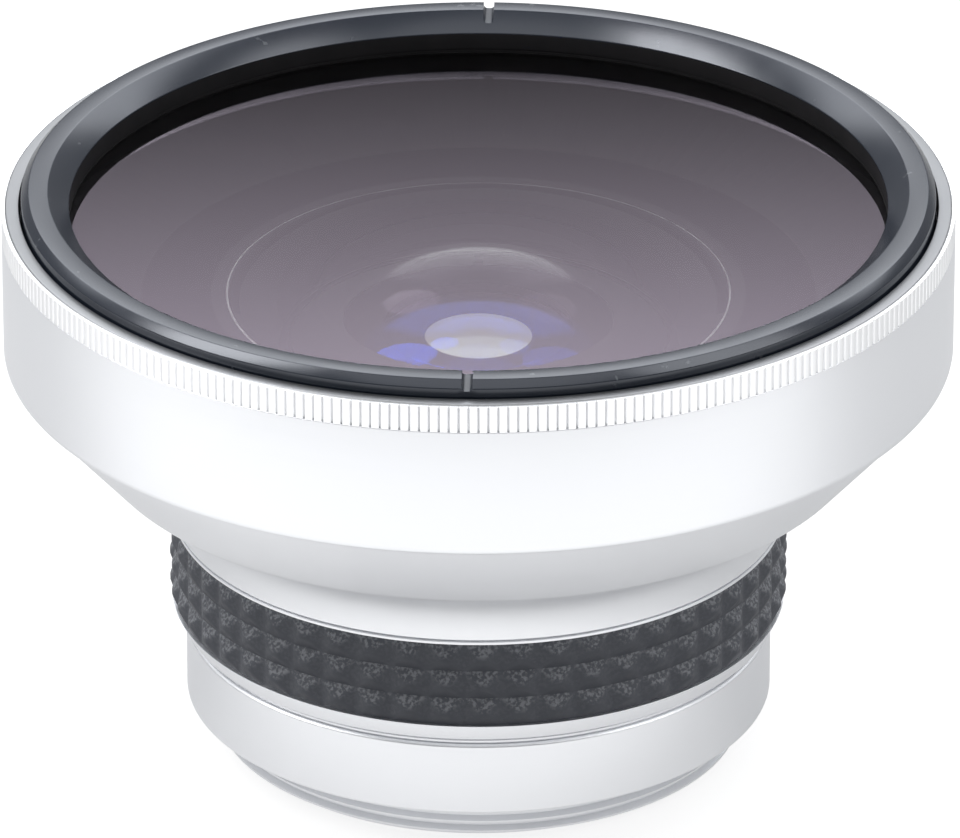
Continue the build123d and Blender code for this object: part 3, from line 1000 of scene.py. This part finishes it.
softbox_distance = 0.6
softboxes = (
    ("left", radians(-97), radians(51), (0.25, 0.40), 8.2),
    ("right", radians(106), radians(47), (0.32, 0.44), 2.9),
    ("front", radians(180), radians(66), (0.46, 0.36), 1.1),
)
for name, azimuth, elevation, size, brightness in softboxes:
    lamp = bpy.data.lights.new("softbox_" + name, "AREA")
    lamp.shape = "ELLIPSE"
    lamp.size, lamp.size_y = size
    lamp.energy = brightness * pi * lamp.size * lamp.size_y * pi / 4
    softbox = bpy.data.objects.new("softbox_" + name, lamp)
    direction = Vector((sin(azimuth) * cos(elevation), cos(azimuth) * cos(elevation), sin(elevation)))
    softbox.location = direction * softbox_distance
    softbox.rotation_mode = "QUATERNION"
    softbox.rotation_quaternion = direction.to_track_quat("Z", "Y")
    softbox.visible_camera = False
    bpy.context.scene.collection.objects.link(softbox)

room_level = 0.3
wall_level = 2.9
wall_swell = 1.5
wall_rise = (0.372, 0.468)
wall_dimming = (0.60, 0.70)
wall_dimmed = 0.9
wall_fall = (0.82, 0.95)
wall_left = (radians(-66), radians(-54))
wall_right = (radians(58), radians(70))
room_tint = (0.96, 0.975, 1.0)

world = bpy.data.worlds.new("studio")
world.use_nodes = True
bpy.context.scene.world = world
tree = world.node_tree
tree.nodes.clear()
towards = node(tree, "ShaderNodeTexCoord").outputs["Generated"]
direction = node(tree, "ShaderNodeSeparateXYZ", {0: towards}).outputs
rise = calc(tree, "POWER", ranged(tree, direction["Z"], *wall_rise, 0.0, 1.0), wall_swell)
fall = calc(
    tree, "MULTIPLY", ranged(tree, direction["Z"], *wall_dimming, 1.0, wall_dimmed),
    ranged(tree, direction["Z"], *wall_fall, 1.0, 0.0))
azimuth = calc(tree, "ARCTAN2", direction["X"], direction["Y"])
side = calc(
    tree, "MULTIPLY", ranged(tree, azimuth, *wall_left, 0.0, 1.0),
    ranged(tree, azimuth, *wall_right, 1.0, 0.0))
wall = calc(tree, "MULTIPLY", calc(tree, "MULTIPLY", rise, fall), side)
level = calc(tree, "ADD", calc(tree, "MULTIPLY", wall, wall_level), room_level)
room = node(tree, "ShaderNodeBackground", {"Color": (*room_tint, 1), "Strength": level})
white = node(tree, "ShaderNodeBackground", {"Color": (1, 1, 1, 1), "Strength": 1.0})
seen = node(tree, "ShaderNodeLightPath").outputs["Is Camera Ray"]
either = node(tree, "ShaderNodeMixShader", {0: seen, 1: room.outputs[0], 2: white.outputs[0]})
node(tree, "ShaderNodeOutputWorld", {"Surface": either.outputs[0]})
bpy.context.scene.view_settings.view_transform = "Standard"


# Camera: a long lens that looks down at the object from in front, by about 26 degrees. It stands
# 0.83 m away, and the drum nearly fills the width of the picture.

camera_place = Vector((0.0, -750.4 * mm, 387.3 * mm))
camera_aim = Vector((0.106 * mm, 0.0, 23.65 * mm))
camera_lens = 445.5
camera_sensor = 36.0
camera_nearest = 0.01

camera_data = bpy.data.cameras.new("camera")
camera_data.sensor_width = camera_sensor
camera_data.lens = camera_lens
camera_data.clip_start = camera_nearest
camera = bpy.data.objects.new("camera", camera_data)
camera.location = camera_place
camera.rotation_mode = "QUATERNION"
camera.rotation_quaternion = (camera_aim - camera_place).to_track_quat("-Z", "Y")
bpy.context.scene.collection.objects.link(camera)
bpy.context.scene.camera = camera
